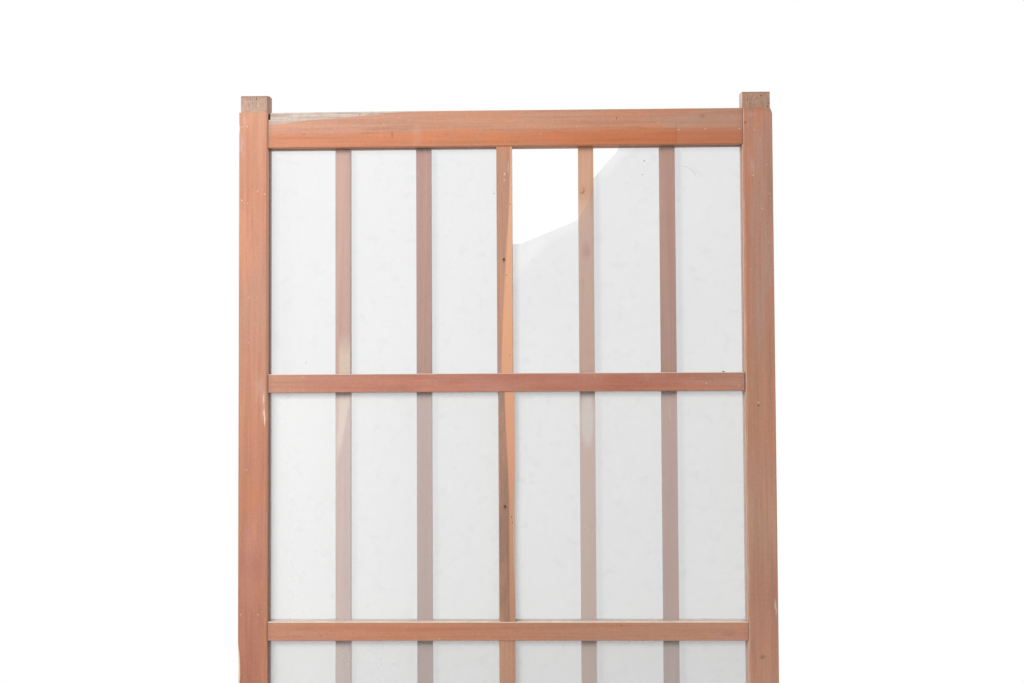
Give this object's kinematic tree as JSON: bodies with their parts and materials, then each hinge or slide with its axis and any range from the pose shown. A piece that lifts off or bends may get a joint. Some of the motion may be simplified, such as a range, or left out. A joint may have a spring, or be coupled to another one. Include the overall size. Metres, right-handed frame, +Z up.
{
  "type": "sliding lattice door leaf",
  "caption": "Old sliding lattice door leaf: stained wooden frame and upright bars behind frosted panes, with a cover strip down the middle, one broken pane and rollers below.",
  "frame": {"origin": "middle of the leaf at the foot of its rollers", "axes": "+X to the right seen from the glazed face, +Y through the leaf away from that viewer, +Z up"},
  "size_m": [0.88, 0.03, 1.7744],
  "materials": {
    "left_stile_wood": "worn red stain",
    "right_stile_wood": "worn red stain",
    "top_rail_wood": "worn red stain, bare along the waney edge",
    "mid_rail_wood": "worn red stain",
    "bottom_rail_wood": "worn red stain",
    "bar_wood": "worn red stain",
    "strip_wood": "worn red stain",
    "frosted_glass": "frosted",
    "nail_iron": "rusted",
    "case_steel": "dull",
    "wheel_brass": "worn",
    "axle_steel": "dull",
    "screw_steel": "dull"
  },
  "bodies": {
    "leaf": {"left_stile": "left_stile_wood", "right_stile": "right_stile_wood", "top_rail": "top_rail_wood", "upper_mid_rail": "mid_rail_wood", "centre_mid_rail": "mid_rail_wood", "lower_mid_rail": "mid_rail_wood", "bottom_rail": "bottom_rail_wood", "lattice_bar_1": "bar_wood", "lattice_bar_2": "bar_wood", "lattice_bar_3": "bar_wood", "lattice_bar_4": "bar_wood", "lattice_bar_5": "bar_wood", "glass_pane_1_left": "frosted_glass", "glass_pane_1_right": "frosted_glass", "cover_strip_1": "strip_wood", "glass_pane_2_left": "frosted_glass", "glass_pane_2_right": "frosted_glass", "cover_strip_2": "strip_wood", "glass_pane_3_left": "frosted_glass", "glass_pane_3_right": "frosted_glass", "cover_strip_3": "strip_wood", "glass_pane_4_left": "frosted_glass", "glass_pane_4_right": "frosted_glass", "cover_strip_4": "strip_wood", "cover_strip_nails": "nail_iron", "roller_case_left": "case_steel", "roller_axle_left": "axle_steel", "roller_case_right": "case_steel", "roller_axle_right": "axle_steel", "roller_screws": "screw_steel"},
    "left_wheel": {"roller_wheel_left": "wheel_brass"},
    "right_wheel": {"roller_wheel_right": "wheel_brass"}
  },
  "joints": [
    {"name": "left_wheel_spin", "type": "hinge", "parent": "leaf", "child": "left_wheel", "pos_m": [-0.3, 0, 0.015], "axis": [0, 1, 0], "continuous": true},
    {"name": "right_wheel_spin", "type": "hinge", "parent": "leaf", "child": "right_wheel", "pos_m": [0.3, 0, 0.015], "axis": [0, 1, 0], "continuous": true}
  ]
}
